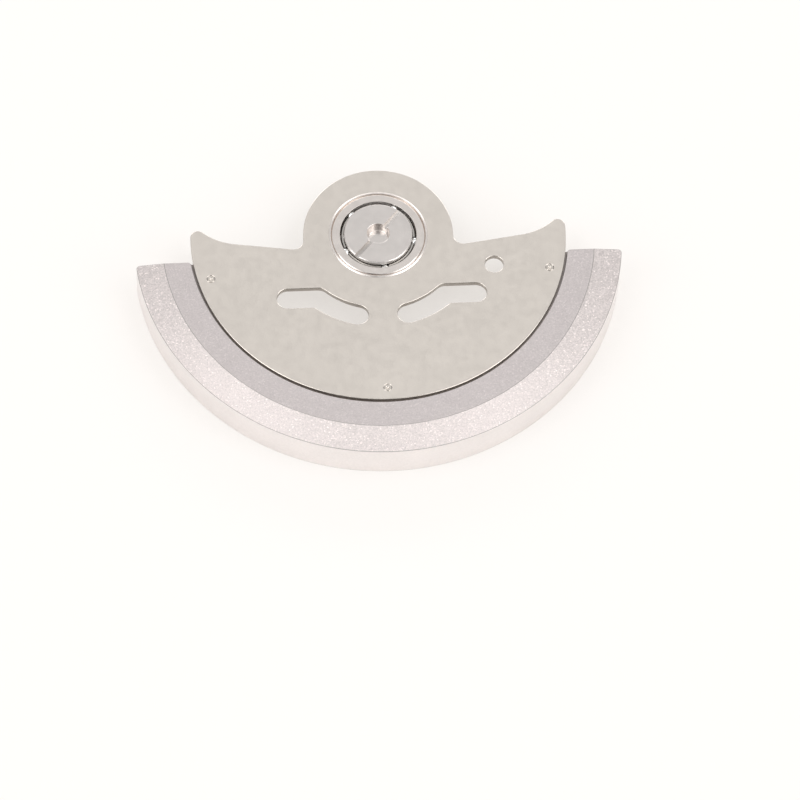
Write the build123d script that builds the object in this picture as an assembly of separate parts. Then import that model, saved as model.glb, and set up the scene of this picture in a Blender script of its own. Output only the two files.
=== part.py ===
from build123d import *
import os
from math import acos, cos, degrees, pi, radians, sin, sqrt, tan

# Automatic watch rotor: a half-ring weight riveted under a pierced plate, which turns on a
# five-ball bearing. The bearing's core is a slotted screw whose stud goes into the movement.
# Lengths are millimetres. Z is the bearing's axis, the weight lies towards -Y, and the origin
# is on the axis in the plane of the seat that rests on the movement.

# Heights above the seat
plate_top_height = 1.05
plate_thickness = 0.30

# Plate: a round hub between two wings, whose outer edge is one arc
plate_radius = 10.0
hub_radius = 4.0
hub_fillet_radius = 0.55
wing_edge_drop = 1.37
wing_edge_angle = 8.2
wing_tip_span = 2.37
wing_hollow_radius = 3.30
wing_tip_radius = 0.40

# Two windows in the plate, each an arc round the axis that runs into a straight stretch
window_width = 1.18
window_arc_radius = 5.02
window_start_angle = 15.6
window_straight_drop = 3.72
window_end_offset = 4.98

# Small round hole in one wing
wing_hole_radius = 0.50
wing_hole_offset = 6.06
wing_hole_drop = 2.04

# Weight: half ring with a ledge under the plate, a flat top and a bevel towards the rim
weight_depth = 2.40
weight_top_drop = 0.07
weight_flat_width = 1.44
weight_bevel_width = 1.44
weight_bevel_fall = 0.19
weight_end_drop = 1.26
weight_inner_corner_radius = 0.18
weight_outer_corner_radius = 0.20
plate_edge_gap = 0.12
ledge_width = 1.40
ledge_overhang = 1.20
ledge_thickness = 0.70

# Three rivets through the plate and the ledge
rivet_edge_distance = 0.70
rivet_spread_angle = 75.3
rivet_radius = 0.20
rivet_head_radius = 0.30
rivet_head_height = 0.12

# Balls
ball_count = 5
ball_radius = 0.30
ball_circle_radius = 1.97
ball_drop = 0.36
first_ball_angle = -10.0

# Clearances: in the races, round the cage, in its pockets, and of pieces pressed together
race_clearance = 0.010
cage_clearance = 0.030
pocket_clearance = 0.020
press_clearance = 0.010

# Outer ring, from its top lip down to the seat of the toothed wheel
ring_bore_radius = 2.04
ring_groove_radius = 2.32
ring_lip_radius = 2.46
ring_foot_radius = 2.64
ring_neck_radius = 2.45
ring_shoulder_radius = 2.58
ring_wheel_seat_radius = 2.38
ring_lip_height = 0.04
ring_countersink_depth = 0.12
ring_shoulder_height = 0.20
ring_tail_height = 0.03

# Toothed wheel that drives the winding train
wheel_tooth_count = 50
wheel_module = 0.11
wheel_thickness = 0.35
wheel_pressure_angle = 20.0
tooth_thickness_share = 0.94
tooth_dedendum_share = 1.25

# Core: slotted head, upper inner race, shank and stud
core_rim_radius = 1.82
core_race_root_radius = 1.62
core_head_height = 0.16
core_bevel_width = 0.06
core_bevel_fall = 0.04
core_shank_radius = 1.15
core_slot_width = 0.26
core_slot_depth = 0.24
core_slot_angle = 48.0
core_dish_radius = 0.60
core_dish_floor_radius = 0.52
core_dish_depth = 0.55
stud_radius = 0.60
stud_length = 1.30
stud_point_chamfer = 0.12

# Cage: a thin crown that runs between the cone and the outer ring
cage_base_height = 0.12
cage_horn_height = 0.25

# Length by which every cutter passes the faces that it opens, and how far off a circle a
# corner may lie and still be taken for one on it
cut_overrun = 0.50
corner_reach = 0.04

# Heights and radii that follow from the sizes above
plate_underside_height = plate_top_height - plate_thickness
ball_height = plate_top_height - ball_drop
ledge_underside_height = plate_underside_height - ledge_thickness
weight_underside_height = plate_top_height - weight_depth
weight_inner_radius = plate_radius + plate_edge_gap
weight_flat_radius = weight_inner_radius + weight_flat_width
weight_radius = weight_flat_radius + weight_bevel_width
rivet_circle_radius = plate_radius - rivet_edge_distance
ring_shoulder_underside_height = plate_underside_height - ring_shoulder_height
wheel_underside_height = ring_shoulder_underside_height - wheel_thickness


def turned(outline):
    """A solid turned about the axis from an outline of (radius, height) points."""
    return revolve(Plane.XZ * make_face(Polyline(*outline, close=True)), Axis.Z)


def race_rise(radius):
    """How far a race's 45 degree flank is from the balls' plane at a radius."""
    return sqrt(2) * (ball_radius + race_clearance) - abs(radius - ball_circle_radius)


def polar(radius, angle, height=0.0):
    """A point at a radius and an angle in degrees round the axis."""
    return Vector(radius * cos(radians(angle)), radius * sin(radians(angle)), height)


def rivet_places():
    """Points on the plate's plan where the rivets stand: left, middle and right."""
    names = ("rivet_left", "rivet_middle", "rivet_right")
    angles = (-90 - rivet_spread_angle, -90, -90 + rivet_spread_angle)
    return {name: polar(rivet_circle_radius, angle) for name, angle in zip(names, angles)}


def wing_area(side):
    """All the area below one wing's edge: a straight edge that rises, then a hollow that climbs."""
    slope = radians(wing_edge_angle)
    inner = Vector(0, -wing_edge_drop)
    reach = plate_radius - wing_tip_span
    start = Vector(reach, reach * tan(slope) - wing_edge_drop)
    centre = start + Vector(-sin(slope), cos(slope)) * wing_hollow_radius
    # the hollow ends where its arc is as far out as its centre lets it go
    end = centre + Vector(wing_hollow_radius, 0)
    middle_angle = (radians(wing_edge_angle - 90)) / 2
    middle = centre + Vector(cos(middle_angle), sin(middle_angle)) * wing_hollow_radius
    far = plate_radius + wing_hollow_radius
    straight = Line(inner, start)
    hollow = ThreePointArc(start, middle, end)
    rest = Polyline(end, (far, end.Y), (far, -far), (0, -far), inner)
    area = make_face([*straight.edges(), *hollow.edges(), *rest.edges()])
    return area if side > 0 else mirror(area, Plane.YZ)


def window(side):
    """One window: an arc slot round the axis, joined to a straight slot that runs outwards."""
    kink = Vector(sqrt(window_arc_radius**2 - window_straight_drop**2), -window_straight_drop)
    inner = polar(window_arc_radius, -90 + window_start_angle)
    between = (kink + inner).normalized() * window_arc_radius
    outer = Vector(window_end_offset, -window_straight_drop)
    curved = SlotArc(ThreePointArc(inner, between, kink), window_width)
    run = outer - kink
    straight = Pos(*((kink + outer) / 2)) * SlotCenterToCenter(run.length, window_width)
    area = curved + straight
    return area if side > 0 else mirror(area, Plane.YZ)


def corner_vertices(area, radius, wanted):
    """The outline's corners that lie on a circle about the axis and pass a test."""
    corners = [v for v in area.vertices() if wanted(v)]
    return [v for v in corners if abs(Vector(v.X, v.Y).length - radius) < corner_reach]


def rotor_plate():
    """Pierced plate: hub, wings, windows, wing hole, rivet holes and countersunk centre hole."""
    wings = Circle(plate_radius) & (wing_area(1) + wing_area(-1))
    area = wings + Circle(hub_radius)
    tips = corner_vertices(area, plate_radius, lambda v: v.Y > 0)
    area = fillet(tips, wing_tip_radius)
    roots = corner_vertices(area, hub_radius, lambda v: v.Y < 0)
    area = fillet(roots, hub_fillet_radius)
    area -= window(1) + window(-1)
    area -= Pos(wing_hole_offset, -wing_hole_drop) * Circle(wing_hole_radius)
    area -= Circle(ring_neck_radius + press_clearance)
    for place in rivet_places().values():
        area -= Pos(*place) * Circle(rivet_radius + press_clearance)
    plate = Pos(0, 0, plate_underside_height) * extrude(area, plate_thickness)
    return plate - bearing_countersink()


def bearing_countersink():
    """Cutter for the 45 degree countersink that takes the outer ring's lip."""
    radius = ring_neck_radius + press_clearance
    low = plate_top_height - ring_countersink_depth
    rise = ring_countersink_depth + cut_overrun
    return turned([(0, low), (radius, low), (radius + rise, low + rise), (0, low + rise)])


def rivet(place, grown=0.0):
    """A rivet with a countersunk head under the ledge and its end flush with the plate's top.

    grown makes the cutter for its hole: the same form, wider by that much.
    """
    head_top = ledge_underside_height + rivet_head_height
    outline = [
        (0, plate_top_height),
        (rivet_radius + grown, plate_top_height),
        (rivet_radius + grown, head_top),
        (rivet_head_radius + grown, ledge_underside_height),
        (0, ledge_underside_height),
    ]
    return Pos(*place) * turned(outline)


def heavy_weight():
    """Half ring: ledge under the plate, deep wall outside it, flat top and bevelled rim."""
    top = plate_top_height - weight_top_drop
    rim_top = top - weight_bevel_fall
    ledge_radius = plate_radius - ledge_width
    wall_radius = ledge_radius + ledge_overhang
    bottom = weight_underside_height
    outline = [
        (ledge_radius, plate_underside_height),
        (weight_inner_radius, plate_underside_height),
        (weight_inner_radius, top),
        (weight_flat_radius, top),
        (weight_radius, rim_top),
        (weight_radius, bottom),
        (wall_radius, bottom),
        (wall_radius, ledge_underside_height),
        (ledge_radius, ledge_underside_height),
    ]
    whole = turned(outline)
    side = weight_radius + cut_overrun
    keep = Pos(0, -weight_end_drop - side / 2, 0) * Box(2 * side, side, 2 * side)
    half = whole & keep
    inner = end_edges(half, weight_inner_radius)
    half = fillet(inner, weight_inner_corner_radius)
    half = fillet(end_edges(half, weight_radius), weight_outer_corner_radius)
    for place in rivet_places().values():
        half -= rivet(place, grown=press_clearance)
    return half


def end_edges(half, radius):
    """The upright edges of the weight's two ends at a radius."""
    upright = half.edges().filter_by(Axis.Z)
    return [e for e in upright if abs(Vector(e.center().X, e.center().Y).length - radius)
            < corner_reach]


def bearing_outer_ring():
    """Outer ring: lip spun into the plate's countersink, V groove for the balls, wheel seat."""
    top = plate_top_height + ring_lip_height
    bottom = wheel_underside_height - ring_tail_height
    outline = [
        (ring_bore_radius, top),
        (ring_bore_radius, ball_height + race_rise(ring_bore_radius)),
        (ring_groove_radius, ball_height + race_rise(ring_groove_radius)),
        (ring_groove_radius, ball_height - race_rise(ring_groove_radius)),
        (ring_bore_radius, ball_height - race_rise(ring_bore_radius)),
        (ring_bore_radius, bottom),
        (ring_wheel_seat_radius, bottom),
        (ring_wheel_seat_radius, ring_shoulder_underside_height),
        (ring_shoulder_radius, ring_shoulder_underside_height),
        (ring_shoulder_radius, plate_underside_height),
        (ring_neck_radius, plate_underside_height),
        (ring_neck_radius, plate_top_height - ring_countersink_depth),
        (ring_neck_radius + ring_countersink_depth, plate_top_height),
        (ring_foot_radius, plate_top_height),
        (ring_lip_radius, top),
    ]
    return turned(outline)


def tooth_half_angle(radius):
    """Half the angle, in degrees, that an involute tooth fills at a radius."""
    pitch = wheel_tooth_count * wheel_module / 2
    pressure = radians(wheel_pressure_angle)
    local = acos(pitch * cos(pressure) / radius)
    at_pitch = tooth_thickness_share * pi / (2 * wheel_tooth_count)
    rolled = (tan(pressure) - pressure) - (tan(local) - local)
    return degrees(at_pitch + rolled)


def drive_wheel():
    """Toothed wheel pressed on the outer ring under its shoulder.

    Each flank is two straight runs between three points of the involute.
    """
    pitch = wheel_tooth_count * wheel_module / 2
    tip = pitch + wheel_module
    root = pitch - tooth_dedendum_share * wheel_module
    step = 360 / wheel_tooth_count
    points = []
    for tooth in range(wheel_tooth_count):
        middle = tooth * step
        points += [polar(r, middle - tooth_half_angle(r)) for r in (root, pitch, tip)]
        points += [polar(r, middle + tooth_half_angle(r)) for r in (tip, pitch, root)]
    area = make_face(Polyline(*points, close=True))
    area -= Circle(ring_wheel_seat_radius + press_clearance)
    return Pos(0, 0, wheel_underside_height) * extrude(area, wheel_thickness)


def core_screw():
    """Slotted head with the upper inner race, the cone's shank and the stud, in one piece."""
    top = plate_top_height + core_head_height
    race_root = core_race_root_radius
    outline = [
        (0, -stud_length),
        (stud_radius - stud_point_chamfer, -stud_length),
        (stud_radius, -stud_length + stud_point_chamfer),
        (stud_radius, 0),
        (core_shank_radius, 0),
        (core_shank_radius, ball_height),
        (race_root, ball_height),
        (race_root, ball_height + race_rise(race_root)),
        (core_rim_radius, ball_height + race_rise(core_rim_radius)),
        (core_rim_radius, top - core_bevel_fall),
        (core_rim_radius - core_bevel_width, top),
        (core_dish_radius, top),
        (core_dish_floor_radius, top - core_dish_depth),
        (0, top - core_dish_depth),
    ]
    slot_length = 2 * (core_rim_radius + cut_overrun)
    slot_height = core_slot_depth + cut_overrun
    slot = Box(slot_length, core_slot_width, slot_height)
    slot = Pos(0, 0, top - core_slot_depth + slot_height / 2) * Rot(0, 0, core_slot_angle) * slot
    return turned(outline) - slot


def inner_cone():
    """Lower inner race, pressed on the core's shank. Its underside is the bearing's seat."""
    bore = core_shank_radius + press_clearance
    race_root = core_race_root_radius
    outline = [
        (bore, 0),
        (bore, ball_height),
        (race_root, ball_height),
        (race_root, ball_height - race_rise(race_root)),
        (core_rim_radius, ball_height - race_rise(core_rim_radius)),
        (core_rim_radius, 0),
    ]
    return turned(outline)


def ball_angles():
    """Angles of the balls round the axis, in degrees."""
    return [first_ball_angle + n * 360 / ball_count for n in range(ball_count)]


def ball_cage():
    """Crown cage: a thin band with one pocket per ball, open towards the head."""
    pocket_radius = ball_radius + pocket_clearance
    inner = core_rim_radius + cage_clearance
    outer = ring_bore_radius - cage_clearance
    bottom = ball_height - pocket_radius - cage_base_height
    top = ball_height + cage_horn_height
    cage = turned([(inner, bottom), (outer, bottom), (outer, top), (inner, top)])
    reach = outer - inner + 2 * cut_overrun
    for angle in ball_angles():
        pocket = Rot(0, 90, 0) * Cylinder(pocket_radius, reach)
        pocket = Pos(ball_circle_radius, 0, ball_height) * pocket
        cage -= Rot(0, 0, angle) * pocket
    return cage


def ball(angle):
    """One steel ball on the ball circle."""
    return Pos(*polar(ball_circle_radius, angle, ball_height)) * Sphere(ball_radius)


def all_pieces():
    """Every piece of the rotor by its name."""
    pieces = {
        "rotor_plate": rotor_plate(),
        "heavy_weight": heavy_weight(),
        "bearing_outer_ring": bearing_outer_ring(),
        "drive_wheel": drive_wheel(),
        "core_screw": core_screw(),
        "inner_cone": inner_cone(),
        "ball_cage": ball_cage(),
    }
    for name, place in rivet_places().items():
        pieces[name] = rivet(place)
    for number, angle in enumerate(ball_angles(), start=1):
        pieces[f"ball_{number}"] = ball(angle)
    return pieces


os.makedirs("parts", exist_ok=True)
for piece_name, piece in all_pieces().items():
    export_step(piece, f"parts/{piece_name}.step")
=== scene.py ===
import bpy
from math import acos, atan2, cos, pi, radians, sin, sqrt, tan
from types import SimpleNamespace

from bpy.props import FloatProperty, FloatVectorProperty, IntProperty, PointerProperty
from mathutils import Matrix, Vector


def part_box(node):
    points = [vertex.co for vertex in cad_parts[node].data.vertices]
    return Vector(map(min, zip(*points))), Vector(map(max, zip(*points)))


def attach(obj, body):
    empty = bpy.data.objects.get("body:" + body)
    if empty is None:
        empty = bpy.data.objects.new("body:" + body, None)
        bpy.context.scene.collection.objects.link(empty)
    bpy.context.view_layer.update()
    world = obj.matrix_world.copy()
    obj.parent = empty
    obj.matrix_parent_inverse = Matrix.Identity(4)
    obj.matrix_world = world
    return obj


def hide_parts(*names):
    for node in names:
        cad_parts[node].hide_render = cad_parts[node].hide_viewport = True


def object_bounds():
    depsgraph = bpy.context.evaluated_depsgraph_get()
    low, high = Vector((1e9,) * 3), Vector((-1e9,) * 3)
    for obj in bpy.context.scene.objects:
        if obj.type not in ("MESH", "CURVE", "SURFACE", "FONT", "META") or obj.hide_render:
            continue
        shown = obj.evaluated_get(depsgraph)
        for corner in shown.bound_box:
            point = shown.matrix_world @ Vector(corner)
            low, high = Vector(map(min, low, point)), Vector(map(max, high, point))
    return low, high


# The finish of an automatic watch rotor. Every piece is modelled in millimetres on the bearing's
# axis and is shrunk to metres when it is done.
bl_info = {
    "name": "Watch Rotor",
    "version": (1, 0, 0),
    "blender": (4, 5, 0),
    "location": "View3D > Sidebar > Rotor",
    "description": "Models and finishes an automatic watch rotor on its ball bearing",
    "category": "Add Mesh",
}

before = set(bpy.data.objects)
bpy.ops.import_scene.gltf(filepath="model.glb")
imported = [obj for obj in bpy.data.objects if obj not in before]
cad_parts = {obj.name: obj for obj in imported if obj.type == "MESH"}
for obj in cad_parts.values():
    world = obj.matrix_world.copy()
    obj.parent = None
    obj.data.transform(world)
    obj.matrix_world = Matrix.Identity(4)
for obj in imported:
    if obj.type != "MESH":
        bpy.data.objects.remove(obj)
cad_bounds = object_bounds()

MM = 0.001
ORIGIN = (0, 0, 0)
UP = (0, 0, 1)

# In millimetres: points closer than WELD are one, a cutter passes what it opens by OVERRUN, and
# pieces that are pressed together stay PRESS apart. Edges shorter than SLIVER are dissolved before
# a piece's edges are broken.
WELD = 0.0005
SLIVER = 0.004
OVERRUN = 0.4
PRESS = 0.01

# Points are sorted by their distance from this place, which lies off every line of symmetry.
SORTING_PLACE = (37.13, -61.37, 23.71)

# Faces that meet at more than SHARP_TURN keep a crisp line, and those that meet at more than
# BROKEN_TURN have their edge broken. Those within FLAT_TURN are one flat face.
FLAT_TURN = radians(0.01)
SHARP_TURN = radians(10.5)
BROKEN_TURN = radians(28)

# Curves have steps of this length or this turn, whichever is finer, and turned pieces have so
# many steps in a full turn.
ARC_STEP = 0.10
ARC_TURN = radians(7)
FEWEST_ARC_STEPS = 3
ROUND_STEPS = 180
SMALL_ROUND_STEPS = 36

# A face whose normal rises by more than this looks up or down, and the others look sideways.
LEVEL_RISE = 0.5

# Lowest and highest roughness of each finish of steel
GROUND = (0.16, 0.26)
LAPPED = (0.18, 0.26)
STRIP = (0.20, 0.30)
CUT = (0.24, 0.34)
DULL = (0.40, 0.50)
DULL_RACE = (0.50, 0.60)


def box_mm(node):
    """A node's lowest and highest corners, in millimetres."""
    low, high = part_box(node)
    return low / MM, high / MM


PLATE_LOW, PLATE_HIGH = box_mm("rotor_plate")
WEIGHT_LOW, WEIGHT_HIGH = box_mm("heavy_weight")
RING_LOW, RING_HIGH = box_mm("bearing_outer_ring")
WHEEL_LOW, WHEEL_HIGH = box_mm("drive_wheel")
CORE_LOW, CORE_HIGH = box_mm("core_screw")
CONE_LOW, CONE_HIGH = box_mm("inner_cone")
CAGE_LOW, CAGE_HIGH = box_mm("ball_cage")
RIVET_NODES = ("rivet_left", "rivet_middle", "rivet_right")
BALL_NODES = tuple(name for name in sorted(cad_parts) if name.startswith("ball_")
                   and name != "ball_cage")


def length(name, millimetres, description):
    """A length setting, kept in metres."""
    return FloatProperty(name=name, description=description, default=millimetres * MM,
                         min=0.0, precision=6, unit="LENGTH")


def angle(name, degrees, description):
    """An angle setting."""
    return FloatProperty(name=name, description=description, default=radians(degrees),
                         subtype="ANGLE")


def share(name, value, description):
    """A setting between nothing and all."""
    return FloatProperty(name=name, description=description, default=value, min=0.0, max=1.0,
                         subtype="FACTOR")


def colour(name, value, description):
    """A colour setting."""
    return FloatVectorProperty(name=name, description=description, default=value, min=0.0,
                               max=1.0, size=3, subtype="COLOR")


class RotorPlateSettings(bpy.types.PropertyGroup):
    """Sizes of the pierced plate."""
    radius: length("Radius", -PLATE_LOW.y, "Radius of the plate's outer arc")
    hub_radius: length("Hub radius", PLATE_HIGH.y, "Radius of the hub round the bearing")
    hub_fillet: length("Hub fillet", 0.55, "Radius between the hub and a wing's edge")
    wing_drop: length("Wing drop", 1.37, "How far the wings' edges start below the axis")
    wing_angle: angle("Wing angle", 8.2, "Slope of a wing's straight edge")
    tip_span: length("Tip span", 2.37, "From the outer arc to the start of the wing's hollow")
    hollow_radius: length("Hollow radius", 3.30, "Radius of the hollow below a wing's tip")
    tip_radius: length("Tip radius", 0.40, "Radius of a wing's tip")
    bore_radius: length("Bore radius", 2.46, "Radius of the hole for the bearing")
    countersink: length("Countersink", 0.12, "Depth of the countersink round that hole")
    edge_break: length("Edge break", 0.025, "Width of the broken edges")


class RotorWindowSettings(bpy.types.PropertyGroup):
    """Sizes of the openings in the plate."""
    width: length("Width", 1.18, "Width of a window")
    arc_radius: length("Arc radius", 5.02, "Radius of a window's bent stretch")
    start_angle: angle("Start angle", 15.6, "From the plate's middle to a window's inner end")
    straight_drop: length("Straight drop", 3.72, "How far the straight stretch is below the axis")
    end_offset: length("End offset", 4.98, "How far out the straight stretch ends")
    hole_radius: length("Hole radius", 0.50, "Radius of the small hole in one wing")
    hole_offset: length("Hole offset", 6.06, "How far out the small hole is")
    hole_drop: length("Hole drop", 2.04, "How far the small hole is below the axis")


class RotorWeightSettings(bpy.types.PropertyGroup):
    """Sizes of the heavy half ring."""
    radius: length("Radius", -WEIGHT_LOW.y, "Radius of the weight's rim")
    end_drop: length("End drop", -WEIGHT_HIGH.y, "How far below the axis the ends are cut")
    inner_radius: length("Inner radius", 10.10, "Radius of the flat ring's inner edge")
    flat_width: length("Flat width", 1.44, "Width of the flat ring")
    bevel_fall: length("Bevel fall", 0.19, "How far the bevel falls to the rim")
    ledge_radius: length("Ledge radius", 8.60, "Inner radius of the ledge under the plate")
    ledge_thickness: length("Ledge thickness", 0.70, "Thickness of the ledge")
    wall_radius: length("Wall radius", 9.80, "Inner radius of the deep wall")
    inner_corner: length("Inner corner", 0.18, "Radius of the ends' inner corners")
    outer_corner: length("Outer corner", 0.20, "Radius of the ends' outer corners")
    groove: length("Groove", 0.04, "Width of the turned line between flat and bevel")
    edge_break: length("Edge break", 0.025, "Width of the broken edges")


class RotorRivetSettings(bpy.types.PropertyGroup):
    """Sizes of the three rivets."""
    radius: length("Radius", 0.20, "Radius of a rivet's shank")
    head_height: length("Head height", 0.12, "Height of the countersunk head")
    clearance: length("Clearance", 0.012, "Gap between a rivet and its hole")
    dimple_radius: length("Dimple radius", 0.09, "Radius of the dimple in a rivet's end")
    dimple_depth: length("Dimple depth", 0.12, "Depth of the dimple in a rivet's end")
    edge_break: length("Edge break", 0.02, "Width of the broken edges")


class RotorBearingSettings(bpy.types.PropertyGroup):
    """Sizes of the rings, the core and the cage."""
    bore_radius: length("Bore radius", 2.04, "Radius of the outer ring's bore")
    groove_radius: length("Groove radius", 2.32, "Radius of the outer ring's groove at its root")
    lip_slope_radius: length("Lip slope radius", 2.42, "Where the lip's inner slope starts")
    lip_slope_width: length("Lip slope width", 0.05, "Width of the lip's inner slope")
    lip_slope_fall: length("Lip slope fall", 0.035, "Fall of the lip's inner slope")
    lip_groove_width: length("Lip groove width", 0.05, "Width of the groove beside that slope")
    lip_edge_width: length("Lip edge width", 0.075, "Width of the lip's outer slope")
    neck_radius: length("Neck radius", 2.45, "Radius of the neck through the plate")
    shoulder_radius: length("Shoulder radius", 2.58, "Radius of the shoulder under the plate")
    wheel_seat_radius: length("Wheel seat radius", 2.38, "Radius that carries the toothed wheel")
    countersink: length("Countersink", 0.12, "Depth of the lip in the plate's countersink")
    shoulder_height: length("Shoulder height", 0.20, "Height of the shoulder")
    race_root_radius: length("Race root radius", 1.62, "Radius of the inner race at its root")
    race_clearance: length("Race clearance", 0.010, "Gap between a ball and its races")
    bevel_width: length("Bevel width", 0.05, "Width of the bevel round the core's head")
    bevel_fall: length("Bevel fall", 0.05, "Fall of the bevel round the core's head")
    shank_radius: length("Shank radius", 1.15, "Radius of the core inside the inner cone")
    slot_width: length("Slot width", 0.26, "Width of the screwdriver slot")
    slot_depth: length("Slot depth", 0.24, "Depth of the screwdriver slot at the axis")
    slot_saw_radius: length("Slot saw radius", 12.0, "Radius of the saw that cut the slot")
    slot_angle: angle("Slot angle", 48.0, "Direction of the screwdriver slot")
    dish_radius: length("Dish radius", 0.60, "Radius of the recess in the core's head")
    dish_floor_radius: length("Dish floor radius", 0.52, "Radius of the recess's floor")
    dish_depth: length("Dish depth", 0.55, "Depth of the recess")
    stud_radius: length("Stud radius", 0.60, "Outside radius of the stud's thread")
    thread_pitch: length("Thread pitch", 0.25, "Distance between the thread's turns")
    undercut_radius: length("Undercut radius", 0.42, "Radius of the relief above the thread")
    pocket_clearance: length("Pocket clearance", 0.020, "Gap round a ball in its pocket")
    cage_chamfer: length("Cage chamfer", 0.07, "Width of the chamfer round the cage's top")
    ring_edge_break: length("Ring edge break", 0.006, "Width of the rings' broken edges")
    edge_break: length("Edge break", 0.02, "Width of the other broken edges")


class RotorWheelSettings(bpy.types.PropertyGroup):
    """Sizes of the toothed wheel."""
    teeth: IntProperty(name="Teeth", description="Number of teeth", default=50, min=8)
    module_size: length("Module", 0.11, "Pitch diameter divided by the number of teeth")
    pressure_angle: angle("Pressure angle", 20.0, "Angle of the involute flanks at the pitch")
    thickness_share: share("Thickness share", 0.94, "Share of half the pitch that a tooth fills")
    edge_break: length("Edge break", 0.012, "Width of the broken edges")


class RotorFinishSettings(bpy.types.PropertyGroup):
    """Colours of the metals."""
    plate: colour("Plate", (0.664, 0.615, 0.563), "Satin nickel of the plate")
    weight_flat: colour("Weight flat", (0.600, 0.550, 0.542), "Frosted top of the weight")
    weight_bevel: colour("Weight bevel", (0.665, 0.608, 0.592), "Frosted bevel of the weight")
    # Partly painted reflection: the rim's tone is raised well above the frost's to stand in for the
    # bright floor it mirrors
    weight_wall_painted_reflection: colour("Weight wall", (0.890, 0.838, 0.812), "Turned rim of the weight")
    # Painted shade: dark tone of the weight's broken edges and turned line, drawing the shadow
    # lines along them
    weight_edge_painted_shade: colour("Weight edge", (0.380, 0.355, 0.342), "Dull broken edges of the weight")
    # Painted shade: dark tone of the ledge and the inner wall, drawing the dark gap between plate
    # and weight
    weight_ledge_painted_shade: colour("Weight ledge", (0.300, 0.270, 0.260), "Bare ledge under the plate")
    steel: colour("Steel", (0.735, 0.690, 0.660), "Polished steel of the core and its cone")
    ring: colour("Ring", (0.770, 0.715, 0.675), "Ground steel of the outer ring")
    # Partly painted light: the races are truly rougher, but their tone is lighter than the steel
    # beside them to lighten the bearing's gap
    race: colour("Race", (0.860, 0.820, 0.790), "Duller ground steel inside the bearing")
    # Partly painted shade: the slot's floor is toned darker than the head to shade the slot
    slot: colour("Slot", (0.520, 0.490, 0.465), "Milled floor of the slot")
    wheel: colour("Wheel", (0.560, 0.540, 0.510), "Steel of the toothed wheel")
    # Partly painted shade: the cage's steel is set darker to darken the gap between core and ring
    cage: colour("Cage", (0.470, 0.448, 0.420), "Steel strip of the cage")
    ball: colour("Ball", (0.800, 0.800, 0.790), "Bright steel of the balls")


class RotorStageSettings(bpy.types.PropertyGroup):
    """The camera's place and the light."""
    elevation: angle("Elevation", 61.03, "Height of the camera above the horizon")
    azimuth: angle("Azimuth", -6.1, "Turn of the camera round the rotor")
    roll: angle("Roll", -3.30, "Turn of the camera about its own axis")
    distance: length("Distance", 319.26, "From the camera to the bearing, along the view")
    lens_mm: FloatProperty(name="Lens", description="Focal length on a 36 mm sensor",
                           default=270.0, min=1.0, unit="CAMERA")
    axis_pixel_x: FloatProperty(name="Axis across", default=378.2, subtype="PIXEL",
                                description="Where the bearing's axis is in the picture")
    axis_pixel_y: FloatProperty(name="Axis down", default=234.8, subtype="PIXEL",
                                description="Where the bearing's axis is in the picture")
    floor_side: length("Floor side", 6000.0, "Width of the floor")
    floor_colour: colour("Floor colour", (0.85, 0.85, 0.85), "Colour of the floor")
    floor_glow: colour("Floor glow", (1.0, 0.95, 0.90), "Colour of the floor's plain white")
    floor_mirrored: share("Floor mirrored", 0.25, "Share of plain white in its reflections")
    floor_white: share("Floor white", 0.62, "Share of plain white in the floor that is seen")
    tent_level: FloatProperty(name="Tent level", default=0.785, min=0.0,
                              description="Light from all sides")
    opening_level: FloatProperty(name="Opening level", default=0.12, min=0.0,
                                 description="Light from the dark opening round the camera")
    opening_height: angle("Opening height", 58.0, "Height of the opening's middle")
    opening_reach: angle("Opening reach", 17.0, "From the opening's middle to its edge")
    lamp_distance: length("Lamp distance", 800.0, "From the bearing to each soft box")


IMAGE_SIDE = 800
SENSOR_MM = 36.0
NEAREST_SEEN = 0.01
FARTHEST_SEEN = 20.0
OPENING_BLUR_SHARE = 0.25

# Each soft box: name, azimuth and elevation in degrees, width and height in metres, and how
# bright it is against plain white.
SOFT_BOXES = (
    ("soft_box_top_left", 118.0, 73.0, 0.12, 0.14, 2.9),
    ("soft_box_top_right", 49.0, 72.5, 0.12, 0.14, 2.5),
    ("soft_box_left_high", 200.0, 62.0, 0.50, 0.28, 2.2),
    ("soft_box_right_high", -22.0, 62.0, 0.58, 0.28, 2.2),
    ("soft_box_left_low", 202.0, 32.0, 0.50, 0.40, 1.9),
    ("soft_box_right_low", -30.0, 32.0, 0.50, 0.40, 1.8),
    ("soft_box_behind", 85.0, 25.5, 1.10, 0.18, 2.0),
)


def millimetres(group):
    """A group's settings by name, with its lengths in millimetres."""
    values = {}
    for name in type(group).__annotations__:
        value = getattr(group, name)
        is_length = group.bl_rna.properties[name].unit == "LENGTH"
        values[name] = value / MM if is_length else value
    return SimpleNamespace(**values)


# Modelling


def deselect():
    """Leaves nothing selected, in object mode."""
    bpy.ops.object.select_all(action="DESELECT")


def pick(piece):
    """Selects one piece and nothing else."""
    deselect()
    bpy.context.view_layer.objects.active = piece
    piece.select_set(True)


def edit(piece):
    """Opens one piece in edit mode with nothing in it selected."""
    pick(piece)
    bpy.ops.object.mode_set(mode="EDIT")
    bpy.ops.mesh.select_all(action="DESELECT")


def leave():
    """Back to object mode."""
    bpy.ops.object.mode_set(mode="OBJECT")


def select_all():
    """Selects all of the mesh that is being edited."""
    bpy.ops.mesh.select_all(action="SELECT")


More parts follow.
